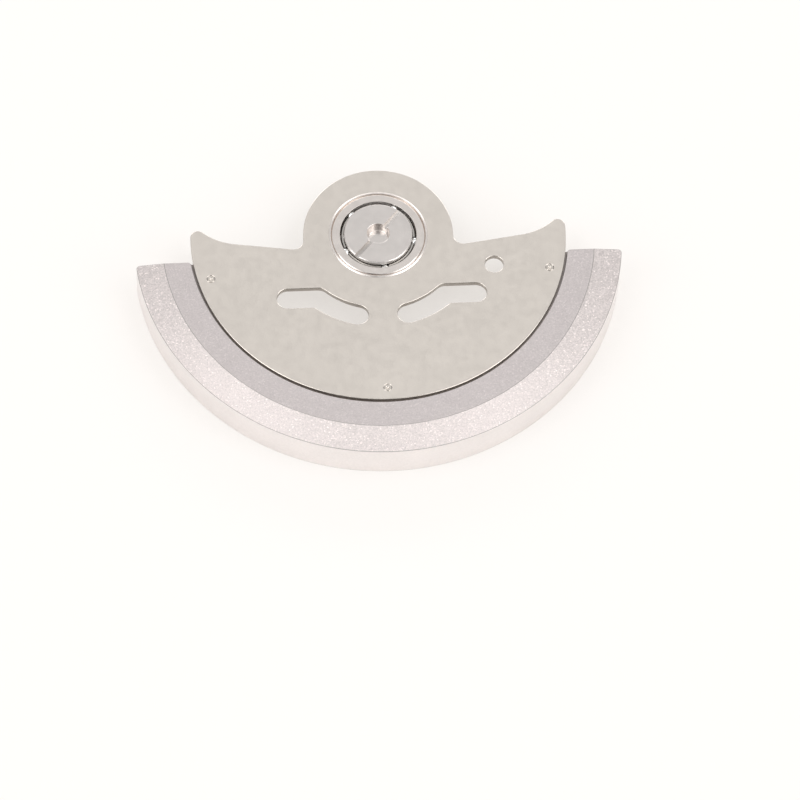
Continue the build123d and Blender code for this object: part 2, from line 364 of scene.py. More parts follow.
def select_edges(piece, wanted):
    """Selects the edges whose two ends pass a test, in edit mode."""
    leave()
    mesh = piece.data
    for item in (*mesh.vertices, *mesh.edges, *mesh.polygons):
        item.select = False
    bpy.context.tool_settings.mesh_select_mode = (False, True, False)
    for edge in mesh.edges:
        first, second = (mesh.vertices[i].co for i in edge.vertices)
        edge.select = wanted(first, second)
    bpy.ops.object.mode_set(mode="EDIT")


def spin(turn, steps, centre=ORIGIN, copies=False):
    """Spins what is selected anticlockwise; the tool itself counts clockwise."""
    bpy.ops.mesh.spin(steps=steps, dupli=copies, angle=-turn, center=centre, axis=UP)


class Pen:
    """Draws an outline in edit mode: straight runs are extruded and arcs are spun."""

    def __init__(self, name, start):
        deselect()
        bpy.ops.mesh.primitive_plane_add(size=1)
        self.piece = bpy.context.object
        self.piece.name = self.piece.data.name = name
        self.end = Vector(start)
        bpy.context.tool_settings.mesh_select_mode = (True, False, False)
        bpy.ops.object.mode_set(mode="EDIT")
        select_all()
        bpy.ops.mesh.merge(type="CENTER")
        bpy.ops.transform.translate(value=self.end)

    def line(self, *points):
        """Straight runs to the next points."""
        for point in map(Vector, points):
            bpy.ops.mesh.extrude_region_move(TRANSFORM_OT_translate={"value": point - self.end})
            self.end = point

    def arc(self, centre, turn):
        """An arc round a centre, through an angle."""
        centre = Vector(centre)
        reach = self.end - centre
        steps = max(FEWEST_ARC_STEPS, round(abs(turn) * max(reach.length / ARC_STEP, 1 / ARC_TURN)))
        spin(turn, steps, centre)
        self.end = centre + Matrix.Rotation(turn, 3, UP) @ reach

    def close(self):
        """Joins the outline's end to its start, when both are at one place."""
        select_all()
        bpy.ops.mesh.remove_doubles(threshold=WELD)


def mend():
    """Welds doubled points and turns every face outwards, in edit mode."""
    select_all()
    bpy.ops.mesh.remove_doubles(threshold=WELD)
    bpy.ops.mesh.normals_make_consistent(inside=False)


def prism(pen, low, high):
    """Makes a drawn outline at height low into a solid that reaches up to height high."""
    pen.close()
    bpy.ops.mesh.edge_face_add()
    bpy.ops.mesh.extrude_region_move(TRANSFORM_OT_translate={"value": (0, 0, high - low)})
    mend()
    leave()
    return pen.piece


def turned(name, outline, steps=ROUND_STEPS):
    """A solid spun about the axis from an outline of (radius, height) points.

    An outline that starts and ends on the axis is closed by it.
    """
    points = [(radius, 0, height) for radius, height in outline]
    pen = Pen(name, points[0])
    pen.line(*points[1:])
    if outline[0][0] or outline[-1][0]:
        pen.line(points[0])
    select_all()
    spin(2 * pi, steps)
    mend()
    leave()
    return pen.piece


def apply(piece, kind, **settings):
    """Adds a modifier with these settings and applies it."""
    pick(piece)
    modifier = piece.modifiers.new(kind.title(), kind)
    for name, value in settings.items():
        setattr(modifier, name, value)
    bpy.ops.object.modifier_apply(modifier=modifier.name)


def put_in_order(piece):
    """Sorts a piece's points, edges and faces, which a Boolean leaves in no fixed order."""
    bpy.context.scene.cursor.location = SORTING_PLACE
    edit(piece)
    select_all()
    bpy.ops.mesh.sort_elements(type="CURSOR_DISTANCE", elements={"VERT", "EDGE", "FACE"})
    leave()
    bpy.context.scene.cursor.location = ORIGIN


def combine(piece, other, operation, materials="INDEX"):
    """Cuts another solid out of a piece, or joins it on, and uses it up."""
    apply(piece, "BOOLEAN", object=other, operation=operation, solver="EXACT",
          material_mode=materials)
    mesh = other.data
    bpy.data.objects.remove(other)
    bpy.data.meshes.remove(mesh)
    put_in_order(piece)


def move(piece, place):
    """Moves a piece's points."""
    edit(piece)
    select_all()
    bpy.ops.transform.translate(value=place)
    leave()


def coat(piece, *materials):
    """Gives a piece its materials; all its faces start with the first."""
    for material in materials:
        piece.data.materials.append(material)


def paint(piece, material, wanted):
    """Gives a piece one more material, on the faces that pass a test."""
    coat(piece, material)
    last = len(piece.data.materials) - 1
    for face in piece.data.polygons:
        if wanted(face):
            face.material_index = last


def copy_of(piece, name):
    """A copy of a piece with a mesh of its own."""
    copied = piece.copy()
    copied.data = piece.data.copy()
    copied.name = copied.data.name = name
    bpy.context.scene.collection.objects.link(copied)
    return copied


def break_edges(piece, width, segments=2, own_edge=False):
    """Takes the sharpness off a piece's edges.

    The broken edges keep the finish beside them, or take the piece's last one.
    """
    edit(piece)
    select_all()
    bpy.ops.mesh.remove_doubles(threshold=SLIVER)
    bpy.ops.mesh.dissolve_degenerate(threshold=SLIVER)
    bpy.ops.mesh.dissolve_limited(angle_limit=FLAT_TURN, delimit={"MATERIAL"})
    leave()
    apply(piece, "BEVEL", width=width, segments=segments, limit_method="ANGLE",
          angle_limit=BROKEN_TURN, use_clamp_overlap=False, miter_outer="MITER_ARC",
          material=len(piece.data.materials) - 1 if own_edge else -1)


def finish_piece(piece, nodes, body):
    """Shrinks a piece to metres and lets it stand for its CAD nodes."""
    if not piece.data.polygons:
        raise RuntimeError(f"{piece.name} came out empty")
    pick(piece)
    bpy.ops.object.shade_smooth_by_angle(angle=SHARP_TURN)
    piece.scale = (MM, MM, MM)
    bpy.ops.object.transform_apply(location=True, rotation=True, scale=True)
    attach(piece, body)
    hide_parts(*nodes)


def meeting(centre_a, radius_a, centre_b, radius_b, side):
    """Where two circles cross, on the left (+1) or right (-1) of the line from a to b."""
    centre_a, centre_b = Vector(centre_a), Vector(centre_b)
    across = centre_b - centre_a
    apart = across.length
    along = (radius_a**2 - radius_b**2 + apart**2) / (2 * apart)
    aside = sqrt(radius_a**2 - along**2)
    unit = across / apart
    return centre_a + unit * along + Vector((-unit.y, unit.x, 0)) * aside * side


def bearing_of(point, centre=ORIGIN):
    """The angle of a point round a centre."""
    return atan2(point[1] - centre[1], point[0] - centre[0])


def rivet_places():
    """Where the rivets stand, in millimetres on plan."""
    places = {}
    for node in RIVET_NODES:
        low, high = box_mm(node)
        places[node] = Vector(((low.x + high.x) / 2, (low.y + high.y) / 2, 0))
    return places


# Materials

# How much fine detail the turned lines have
LINE_DETAIL = 3.0


class Nodes:
    """The nodes of a material or a world."""

    def __init__(self, owner):
        owner.use_nodes = True
        self.tree = owner.node_tree

    def add(self, kind, **settings):
        """A node of a kind, with these settings."""
        node = self.tree.nodes.new(kind)
        for name, value in settings.items():
            setattr(node, name, value)
        return node

    def link(self, output, socket):
        """Joins two sockets."""
        self.tree.links.new(output, socket)


class Finish(Nodes):
    """A metal whose patterns are drawn in millimetres on the piece's own coordinates."""

    def __init__(self, name):
        self.material = bpy.data.materials.new(name)
        super().__init__(self.material)
        self.shader = self.tree.nodes["Principled BSDF"]
        self.shader.inputs["Metallic"].default_value = 1.0
        place = self.add("ShaderNodeTexCoord")
        scale = self.add("ShaderNodeMapping")
        scale.inputs["Scale"].default_value = (1 / MM, 1 / MM, 1 / MM)
        self.link(place.outputs["Object"], scale.inputs["Vector"])
        self.place = scale.outputs["Vector"]
        self.height = None

    def noise(self, per_mm, detail=2.0, stretch=(1, 1, 1)):
        """A cloudy pattern from 0 to 1, with so many features in a millimetre."""
        place = self.add("ShaderNodeMapping")
        place.inputs["Scale"].default_value = stretch
        self.link(self.place, place.inputs["Vector"])
        cloud = self.add("ShaderNodeTexNoise")
        cloud.inputs["Scale"].default_value = per_mm
        cloud.inputs["Detail"].default_value = detail
        self.link(place.outputs["Vector"], cloud.inputs["Vector"])
        return cloud.outputs["Fac"]

    def turning(self, per_mm):
        """Fine lines round the axis, such as a lathe leaves, from 0 to 1."""
        flat = self.add("ShaderNodeVectorMath", operation="MULTIPLY")
        flat.inputs[1].default_value = (1, 1, 0)
        self.link(self.place, flat.inputs[0])
        radius = self.add("ShaderNodeVectorMath", operation="LENGTH")
        self.link(flat.outputs["Vector"], radius.inputs[0])
        lines = self.add("ShaderNodeTexNoise", noise_dimensions="1D")
        lines.inputs["Scale"].default_value = per_mm
        lines.inputs["Detail"].default_value = LINE_DETAIL
        self.link(radius.outputs["Value"], lines.inputs["W"])
        return lines.outputs["Fac"]

    def specks(self, per_mm):
        """Grains of random brightness from 0 to 1."""
        grains = self.add("ShaderNodeTexVoronoi")
        grains.inputs["Scale"].default_value = per_mm
        self.link(self.place, grains.inputs["Vector"])
        level = self.add("ShaderNodeSeparateColor")
        self.link(grains.outputs["Color"], level.inputs["Color"])
        return level.outputs["Red"]

    def spread(self, pattern, low, high, start=0.3, stop=0.7):
        """A pattern's middle range stretched to lie between two values."""
        spread = self.add("ShaderNodeMapRange")
        for name, value in (("From Min", start), ("From Max", stop), ("To Min", low),
                            ("To Max", high)):
            spread.inputs[name].default_value = value
        self.link(pattern, spread.inputs["Value"])
        return spread.outputs["Result"]

    def product(self, first, second):
        """Two patterns multiplied."""
        both = self.add("ShaderNodeMath", operation="MULTIPLY")
        self.link(first, both.inputs[0])
        self.link(second, both.inputs[1])
        return both.outputs["Value"]

    def tint(self, shade, tone):
        """Colours the metal, darker and lighter where a pattern round 1 says."""
        tinted = self.add("ShaderNodeVectorMath", operation="SCALE")
        tinted.inputs[0].default_value = tuple(tone)
        self.link(shade, tinted.inputs["Scale"])
        self.link(tinted.outputs["Vector"], self.shader.inputs["Base Color"])

    def rough(self, pattern, low, high):
        """Lets a pattern vary the roughness."""
        self.link(self.spread(pattern, low, high), self.shader.inputs["Roughness"])

    def bump(self, pattern, depth):
        """Raises the surface by a pattern, with a depth in millimetres."""
        raised = self.add("ShaderNodeBump")
        raised.inputs["Distance"].default_value = depth * MM
        self.link(pattern, raised.inputs["Height"])
        if self.height is not None:
            self.link(self.height, raised.inputs["Normal"])
        self.height = raised.outputs["Normal"]
        self.link(self.height, self.shader.inputs["Normal"])


def satin_plate(tone):
    """Satin nickel: a fine even grain with the faintest clouds."""
    metal = Finish("plate_satin_nickel")
    grain = metal.noise(14.0)
    clouds = metal.spread(metal.noise(0.35), 0.985, 1.015)
    metal.tint(metal.product(clouds, metal.spread(grain, 0.99, 1.01)), tone)
    metal.rough(metal.noise(2.5), 0.30, 0.38)
    metal.bump(grain, 0.0006)
    return metal.material


def bright_edge(name, tone):
    """A broken edge, rubbed brighter than the face beside it."""
    metal = Finish(name)
    metal.tint(metal.spread(metal.noise(5.0), 0.97, 1.05), tone)
    metal.rough(metal.noise(6.0), 0.14, 0.24)
    return metal.material


def frost(metal, coarseness, painted_glint):
    """Sintered grains: mottled shade and small bumps, some of which catch the light."""
    grains = metal.specks(16.0)
    cloud = metal.noise(14.0, detail=3.0)
    patches = metal.spread(metal.noise(0.9), 0.985, 1.015)
    shade = metal.product(metal.spread(grains, 1 - coarseness, 1 + coarseness, 0.0, 1.0),
                          metal.spread(cloud, 1 - coarseness, 1 + coarseness))
    # Painted glints: the brightest grains are lightened in colour as if they caught the light
    shade = metal.product(metal.product(shade, patches),
                          metal.spread(grains, 1.0, 1.0 + painted_glint, 0.93, 0.97))
    return grains, cloud, shade


def weight_flat(tone):
    """Frosted top of the weight, with faint lines round the axis."""
    metal = Finish("weight_frosted_flat")
    grains, cloud, shade = frost(metal, 0.06, 0.10)
    lines = metal.turning(9.0)
    metal.tint(metal.product(shade, metal.spread(lines, 0.985, 1.015)), tone)
    metal.rough(metal.noise(4.0), 0.33, 0.40)
    metal.bump(cloud, 0.0016)
    metal.bump(lines, 0.0005)
    return metal.material


def weight_bevel(tone):
    """Frosted bevel of the weight, coarser than its flat top."""
    metal = Finish("weight_frosted_bevel")
    grains, cloud, shade = frost(metal, 0.11, 0.22)
    metal.tint(shade, tone)
    metal.rough(grains, 0.30, 0.40)
    metal.bump(cloud, 0.0022)
    return metal.material


def weight_wall_painted_reflection(tone):
    """Rim and underside of the weight: smoother than the frost, with fine pores."""
    metal = Finish("weight_turned_wall_painted_reflection")
    grain = metal.noise(8.0, detail=4.0)
    clouds = metal.spread(metal.noise(0.6), 0.98, 1.02)
    metal.tint(metal.product(metal.spread(grain, 0.97, 1.03), clouds), tone)
    metal.rough(metal.noise(3.0), 0.34, 0.46)
    metal.bump(grain, 0.0015)
    return metal.material


def turned_steel(name, tone, roughness=GROUND):
    """Hardened steel with the fine round lines of its grinding."""
    metal = Finish(name)
    lines = metal.turning(16.0)
    clouds = metal.spread(metal.noise(0.8), 0.975, 1.025)
    metal.tint(metal.product(clouds, metal.spread(lines, 0.985, 1.015)), tone)
    metal.rough(metal.noise(3.0), *roughness)
    metal.bump(lines, 0.0005)
    return metal.material


def milled_steel(name, tone):
    """The duller floor that a saw leaves."""
    metal = Finish(name)
    marks = metal.noise(12.0, stretch=(1, 1, 3))
    metal.tint(metal.spread(marks, 0.9, 1.1), tone)
    metal.rough(metal.noise(6.0), 0.28, 0.42)
    metal.bump(marks, 0.002)
    return metal.material


def ball_steel(tone):
    """Mirror finish of a bearing ball, with the finest haze."""
    metal = Finish("ball_mirror_steel")
    metal.tint(metal.spread(metal.noise(4.0), 0.99, 1.01), tone)
    metal.rough(metal.noise(9.0), 0.04, 0.09)
    return metal.material


def seen_directly(nodes, by_camera, by_metal):
    """A factor of one amount for what the camera sees and another for reflections."""
    path = nodes.add("ShaderNodeLightPath")
    total = None
    for ray, amount in (("Is Camera Ray", by_camera), ("Is Glossy Ray", by_metal)):
        part = nodes.add("ShaderNodeMath", operation="MULTIPLY_ADD")
        part.inputs[1].default_value = amount
        part.inputs[2].default_value = 0.0
        nodes.link(path.outputs[ray], part.inputs[0])
        if total:
            nodes.link(total, part.inputs[2])
        total = part.outputs["Value"]
    return total


def aim(azimuth, elevation):
    """A direction from the bearing."""
    return Vector((cos(elevation) * cos(azimuth), cos(elevation) * sin(azimuth),
                   sin(elevation)))


# Pieces


def plate_outline(size, top):
    """Draws the right half of the plate's outline, from the hub's top to the rim's foot."""
    slope = size.wing_angle
    reach = size.radius - size.tip_span
    uphill = Vector((cos(slope), sin(slope), 0))
    outwards = Vector((-sin(slope), cos(slope), 0))
    start = Vector((reach, reach * tan(slope) - size.wing_drop, 0))
    hollow = start + outwards * size.hollow_radius
    # the fillet beside the hub touches the hub's circle and the wing's straight edge
    edge_height = -size.wing_drop * cos(slope) + size.hub_fillet
    root_along = sqrt((size.hub_radius + size.hub_fillet) ** 2 - edge_height**2)
    root = uphill * root_along + outwards * edge_height
    # the tip's round touches the rim's circle and the hollow
    tip = meeting(ORIGIN, size.radius - size.tip_radius, hollow,
                  size.hollow_radius + size.tip_radius, -1)
    lift = Vector((0, 0, top))
    hub_turn = bearing_of(root) - pi / 2
    pen = Pen("rotor_plate_finish", Vector((0, size.hub_radius, top)))
    pen.arc(lift, hub_turn)
    foot = root - outwards * size.hub_fillet
    pen.arc(root + lift, turn_to(pen.end, foot, root, 1))
    pen.line(start + lift)
    pen.arc(hollow + lift, turn_to(pen.end, tip, hollow, 1))
    pen.arc(tip + lift, turn_to(pen.end, tip * 2, tip, -1))
    pen.arc(lift, turn_to(pen.end, Vector((0, -1, 0)), ORIGIN, -1))
    return pen


def turn_to(point, target, centre, way):
    """The turn round a centre from one point to the bearing of another, in one direction."""
    amount = bearing_of(target, centre) - bearing_of(point, centre)
    return amount % (2 * pi) if way > 0 else -((-amount) % (2 * pi))


def window_cutters(size, low, high):
    """The bent and the straight stretch of the right-hand window, each as a cutter."""
    half = size.width / 2
    middle = Vector((0, 0, low))
    kink = Vector((sqrt(size.arc_radius**2 - size.straight_drop**2), -size.straight_drop, low))
    start = size.start_angle - pi / 2
    sweep = bearing_of(kink) - start
    outwards = Vector((cos(start), sin(start), 0))
    inner = middle + outwards * size.arc_radius
    pen = Pen("window_bend", inner + outwards * half)
    pen.arc(middle, sweep)
    pen.arc(kink, pi)
    pen.arc(middle, -sweep)
    pen.arc(inner, pi)
    bend = prism(pen, low, high)
    across = Vector((0, half, 0))
    outer = Vector((size.end_offset, -size.straight_drop, low))
    pen = Pen("window_run", kink + across)
    pen.arc(kink, pi)
    pen.line(outer - across)
    pen.arc(outer, pi)
    pen.line(kink + across)
    return bend, prism(pen, low, high)


def round_cutter(name, place, radius, low, high):
    """A round cutter that stands at a place."""
    pen = Pen(name, Vector((place[0] + radius, place[1], low)))
    pen.arc(Vector((place[0], place[1], low)), 2 * pi)
    return prism(pen, low, high)


def mirrored(piece, name):
    """The other-handed copy of a piece."""
    other = copy_of(piece, name)
    edit(other)
    select_all()
    bpy.ops.transform.resize(value=(-1, 1, 1), center_override=ORIGIN)
    mend()
    leave()
    return other


class ROTOR_OT_plate(bpy.types.Operator):
    """Models the plate with its wings, windows and holes"""
    bl_idname = "rotor.plate"
    bl_label = "Plate"

    def execute(self, context):
        size = millimetres(context.scene.rotor_plate)
        windows = millimetres(context.scene.rotor_windows)
        rivets = millimetres(context.scene.rotor_rivets)
        finish = context.scene.rotor_finish
        low, high = PLATE_LOW.z, PLATE_HIGH.z
        pen = plate_outline(size, low)
        leave()
        plate = pen.piece
        apply(plate, "MIRROR", merge_threshold=WELD)
        edit(plate)
        prism(pen, low, high)
        below, above = low - OVERRUN, high + OVERRUN
        cutters = []
        for cutter in window_cutters(windows, below, above):
            cutters += [cutter, mirrored(cutter, cutter.name + "_other")]
        cutters.append(round_cutter("wing_hole", (windows.hole_offset, -windows.hole_drop),
                                    windows.hole_radius, below, above))
        rise = size.countersink + OVERRUN
        cutters.append(turned("bearing_hole", [
            (0, below), (size.bore_radius, below), (size.bore_radius, above - rise),
            (size.bore_radius + rise, above), (0, above)]))
        for place in rivet_places().values():
            cutters.append(round_cutter("rivet_hole", place, rivets.radius + rivets.clearance,
                                        below, above))
        for cutter in cutters:
            combine(plate, cutter, "DIFFERENCE")
        coat(plate, satin_plate(finish.plate), bright_edge("plate_edge", finish.plate))
        break_edges(plate, size.edge_break, own_edge=True)
        finish_piece(plate, ["rotor_plate"], "rotor")
        return {"FINISHED"}


def rivet_seat(place, rivets):
    """The cutter for a rivet's countersunk hole in the ledge."""
    low, high = box_mm(RIVET_NODES[0])
    head_radius = (high.x - low.x) / 2
    flare = (head_radius - rivets.radius) / rivets.head_height * OVERRUN
    radius = rivets.radius + rivets.clearance
    seat = turned("rivet_seat", [
        (0, low.z - OVERRUN), (head_radius + rivets.clearance + flare, low.z - OVERRUN),
        (radius, low.z + rivets.head_height), (radius, high.z + OVERRUN),
        (0, high.z + OVERRUN)], SMALL_ROUND_STEPS)
    move(seat, place)
    return seat


class ROTOR_OT_rivets(bpy.types.Operator):
    """Models the rivets that hold the weight under the plate"""
    bl_idname = "rotor.rivets"
    bl_label = "Rivets"

    def execute(self, context):
        size = millimetres(context.scene.rotor_rivets)
        material = turned_steel("rivet_steel", context.scene.rotor_finish.plate)
        low, high = box_mm(RIVET_NODES[0])
        for node, place in rivet_places().items():
            rivet = turned(node + "_finish", [
                (0, low.z), ((high.x - low.x) / 2, low.z), (size.radius, low.z + size.head_height),
                (size.radius, high.z), (size.dimple_radius, high.z),
                (0, high.z - size.dimple_depth)], SMALL_ROUND_STEPS)
            move(rivet, place)
            coat(rivet, material)
            break_edges(rivet, size.edge_break)
            finish_piece(rivet, [node], "rotor")
        return {"FINISHED"}


# The weight is spun from its first end to its last. One wide step at each end leaves room for
# the round of the corner.
WEIGHT_SPIN_START = radians(5.5)
WEIGHT_END_STEP = radians(3.1)
WEIGHT_STEPS = 200

# How near a corner's edge is to its radius in millimetres, and the steps of its round
CORNER_REACH = 0.02
CORNER_STEPS = 6

# The turned line's depth against its width
GROOVE_DEPTH_SHARE = 0.1


def at_corner(first, second, radius, end_drop):
    """Whether an edge stands upright where a cut end meets the arc of a radius."""
    at_end = abs(first.y + end_drop) < WELD and abs(second.y + end_drop) < WELD
    at_radius = abs(first.xy.length - radius) < CORNER_REACH
    return at_end and at_radius and (first - second).xy.length < WELD


class ROTOR_OT_weight(bpy.types.Operator):
    """Models the heavy half ring with its ledge, flat top and bevel"""
    bl_idname = "rotor.weight"
    bl_label = "Weight"

    def execute(self, context):
        size = millimetres(context.scene.rotor_weight)
        rivets = millimetres(context.scene.rotor_rivets)
        finish = context.scene.rotor_finish
        top, bottom = WEIGHT_HIGH.z, WEIGHT_LOW.z
        seat = PLATE_LOW.z
        flat_radius = size.inner_radius + size.flat_width
        ledge_bottom = seat - size.ledge_thickness
        rim_top = top - size.bevel_fall
        outline = [
            (size.ledge_radius, seat), (size.inner_radius, seat), (size.inner_radius, top),
            (flat_radius - size.groove, top),
            (flat_radius - size.groove / 2, top - GROOVE_DEPTH_SHARE * size.groove),
            (flat_radius, top), (size.radius, rim_top), (size.radius, bottom),
            (size.wall_radius, bottom), (size.wall_radius, ledge_bottom),
            (size.ledge_radius, ledge_bottom),
        ]
        start = Matrix.Rotation(-WEIGHT_SPIN_START, 3, "Z")
        points = [start @ Vector((radius, 0, height)) for radius, height in outline]
        pen = Pen("heavy_weight_finish", points[0])
        pen.line(*points[1:], points[0])
        pen.close()
        middle_turn = pi - 2 * (WEIGHT_SPIN_START + WEIGHT_END_STEP)
        for steps, amount in ((1, WEIGHT_END_STEP), (WEIGHT_STEPS, middle_turn),
                              (1, WEIGHT_END_STEP)):
            spin(-amount, steps)
        select_all()
        bpy.ops.mesh.bisect(plane_co=(0, -size.end_drop, 0), plane_no=(0, 1, 0),
                            use_fill=True, clear_outer=True, threshold=WELD)
        mend()
        weight = pen.piece
        for radius, corner in ((size.inner_radius, size.inner_corner),
                               (size.radius, size.outer_corner)):
            select_edges(weight, lambda first, second: at_corner(first, second, radius,
                                                                 size.end_drop))
            bpy.ops.mesh.bevel(offset=corner, segments=CORNER_STEPS, affect="EDGES")
        leave()
        for place in rivet_places().values():
            combine(weight, rivet_seat(place, rivets), "DIFFERENCE")
        self.finishes(weight, size, flat_radius, rim_top, finish)
        # The broken edges take the last material, which is painted shade
        break_edges(weight, size.edge_break, own_edge=True)
        finish_piece(weight, ["heavy_weight"], "rotor")
        return {"FINISHED"}

    def finishes(self, weight, size, flat_radius, rim_top, finish):
        """Gives the flat, the bevel, the ledge, the turned line and the rest their finishes."""
        top = WEIGHT_HIGH.z
        # The first material, with its tone raised as painted reflection, covers the rim and the
        # underside
        coat(weight, weight_wall_painted_reflection(finish.weight_wall_painted_reflection))
        paint(weight, weight_flat(finish.weight_flat), lambda face: (
            self.looks_up(face, rim_top) and face.center.xy.length < flat_radius))
        paint(weight, weight_bevel(finish.weight_bevel), lambda face: (
            self.looks_up(face, rim_top) and face.center.xy.length >= flat_radius))
        # Painted shade in the gap between plate and weight, on the ledge and the inner wall
        paint(weight, turned_steel("weight_gap_painted_shade", finish.weight_ledge_painted_shade, DULL),
              lambda face: (face.center.xy.length < size.inner_radius + WELD
                            and face.center.z < top - WELD))
        # Painted shade on the turned line; as the last material it also darkens the broken edges
        paint(weight, turned_steel("weight_edge_painted_shade", finish.weight_edge_painted_shade, DULL), lambda face: (
            flat_radius - size.groove < face.center.xy.length < flat_radius
            and face.center.z > rim_top))

    def looks_up(self, face, rim_top):
        """Whether a face is part of the weight's top."""
        return face.normal.z > LEVEL_RISE and face.center.z > rim_top - WELD


def ball_centre(node):
    """The middle of a ball, in millimetres."""
    low, high = box_mm(node)
    return (low + high) / 2


def ball_radius():
    """A ball's radius, in millimetres."""
    low, high = box_mm(BALL_NODES[0])
    return (high.z - low.z) / 2


def race_rise(size, radius):
    """How far a race's 45 degree flank is from the balls' plane at a radius."""
    circle = ball_centre(BALL_NODES[0]).xy.length
    return sqrt(2) * (ball_radius() + size.race_clearance) - abs(radius - circle)


class ROTOR_OT_outer_ring(bpy.types.Operator):
    """Models the bearing's outer ring with its lip, groove and shoulder"""
    bl_idname = "rotor.outer_ring"
    bl_label = "Outer ring"

    def execute(self, context):
        size = millimetres(context.scene.rotor_bearing)
        finish = context.scene.rotor_finish
        ball_height = ball_centre(BALL_NODES[0]).z
        top, plate_top, plate_low = RING_HIGH.z, PLATE_HIGH.z, PLATE_LOW.z
        foot = RING_HIGH.x
        groove_in = size.lip_slope_radius + size.lip_slope_width
        groove_out = groove_in + size.lip_groove_width
        shoulder_low = plate_low - size.shoulder_height
        rise = [race_rise(size, radius) for radius in (size.bore_radius, size.groove_radius)]
        outline = [
            (size.bore_radius, top),
            (size.bore_radius, ball_height + rise[0]),
            (size.groove_radius, ball_height + rise[1]),
            (size.groove_radius, ball_height - rise[1]),
            (size.bore_radius, ball_height - rise[0]),
            (size.bore_radius, RING_LOW.z),
            (size.wheel_seat_radius, RING_LOW.z),
            (size.wheel_seat_radius, shoulder_low),
            (size.shoulder_radius, shoulder_low),
            (size.shoulder_radius, plate_low),
            (size.neck_radius, plate_low),
            (size.neck_radius, plate_top - size.countersink),
            (size.neck_radius + size.countersink, plate_top),
            (foot, plate_top),
            (foot, plate_top + size.edge_break / 2),
            (foot - size.lip_edge_width, top),
            (groove_out, top),
            (groove_out, plate_top - size.edge_break / 2),
            (groove_in, plate_top - size.edge_break / 2 - size.lip_groove_width),
            (groove_in, top - size.lip_slope_fall),
            (size.lip_slope_radius, top),
        ]
        ring = turned("bearing_outer_ring_finish", outline)
        coat(ring, turned_steel("ring_ground_steel", finish.ring))
        break_edges(ring, size.ring_edge_break, segments=1)
        # Painted light: the bore and the groove get the lighter race tone to lighten the gap
        paint(ring, turned_steel("ring_dull_race_painted_light", finish.race, DULL_RACE), lambda face: (
            face.center.xy.length < size.groove_radius + WELD
            and face.center.z < top - size.edge_break))
        finish_piece(ring, ["bearing_outer_ring"], "rotor")
        return {"FINISHED"}


# A tooth's depth below the pitch circle in modules, and the straight runs of one flank
DEDENDUM = 1.25
FLANK_RUNS = 5


class ROTOR_OT_drive_wheel(bpy.types.Operator):
    """Models the toothed wheel, one tooth at a time round the axis"""
    bl_idname = "rotor.drive_wheel"
    bl_label = "Drive wheel"

    def execute(self, context):
        size = millimetres(context.scene.rotor_wheel)
        bearing = millimetres(context.scene.rotor_bearing)
        finish = context.scene.rotor_finish
        pitch = size.teeth * size.module_size / 2
        tip = pitch + size.module_size
        root = pitch - DEDENDUM * size.module_size
        low = WHEEL_LOW.z
        step = 2 * pi / size.teeth
        rungs = [root + (tip - root) * n / FLANK_RUNS for n in range(FLANK_RUNS + 1)]
        rising = [self.flank(size, pitch, radius, -1) for radius in rungs]
        falling = [self.flank(size, pitch, radius, 1) for radius in reversed(rungs)]
        pen = Pen("drive_wheel_finish", rising[0])
        pen.line(*rising[1:], *falling)
        pen.arc((0, 0, low), step - 2 * self.half_angle(size, pitch, root))
        select_all()
        spin(2 * pi, size.teeth, copies=True)
        wheel = prism(pen, low, WHEEL_HIGH.z)
        bore = round_cutter("wheel_bore", ORIGIN, bearing.wheel_seat_radius + PRESS,
                            low - OVERRUN, WHEEL_HIGH.z + OVERRUN)
        combine(wheel, bore, "DIFFERENCE")
        coat(wheel, turned_steel("wheel_cut_steel", finish.wheel, CUT))
        break_edges(wheel, size.edge_break, segments=1)
        finish_piece(wheel, ["drive_wheel"], "rotor")
        return {"FINISHED"}

    def flank(self, size, pitch, radius, side):
        """The point of a tooth's flank at a radius, on one side of the tooth."""
        amount = side * self.half_angle(size, pitch, radius)
        return Vector((radius * cos(amount), radius * sin(amount), WHEEL_LOW.z))

    def half_angle(self, size, pitch, radius):
        """Half the angle that an involute tooth fills at a radius."""
        pressure = size.pressure_angle
        local = acos(min(1.0, pitch * cos(pressure) / radius))
        at_pitch = size.thickness_share * pi / (2 * size.teeth)
        return at_pitch + (tan(pressure) - pressure) - (tan(local) - local)


# Places of the head's steel and of the slot in the core's list of materials
CORE_STEEL = 0
CORE_SLOT = 2

# The thread is wound with spare turns at both ends, and is cut off this share of its pitch below
# the seat.
SPARE_TURNS = 2
THREAD_TOP_SHARE = 0.25

# The thread's depth against its pitch, and its outline as shares of the depth and the pitch
THREAD_DEPTH_SHARE = 0.61
THREAD_FORM_SHARES = ((0, 1 / 8), (1, 7 / 16), (1, 9 / 16), (0, 7 / 8), (0, 1))


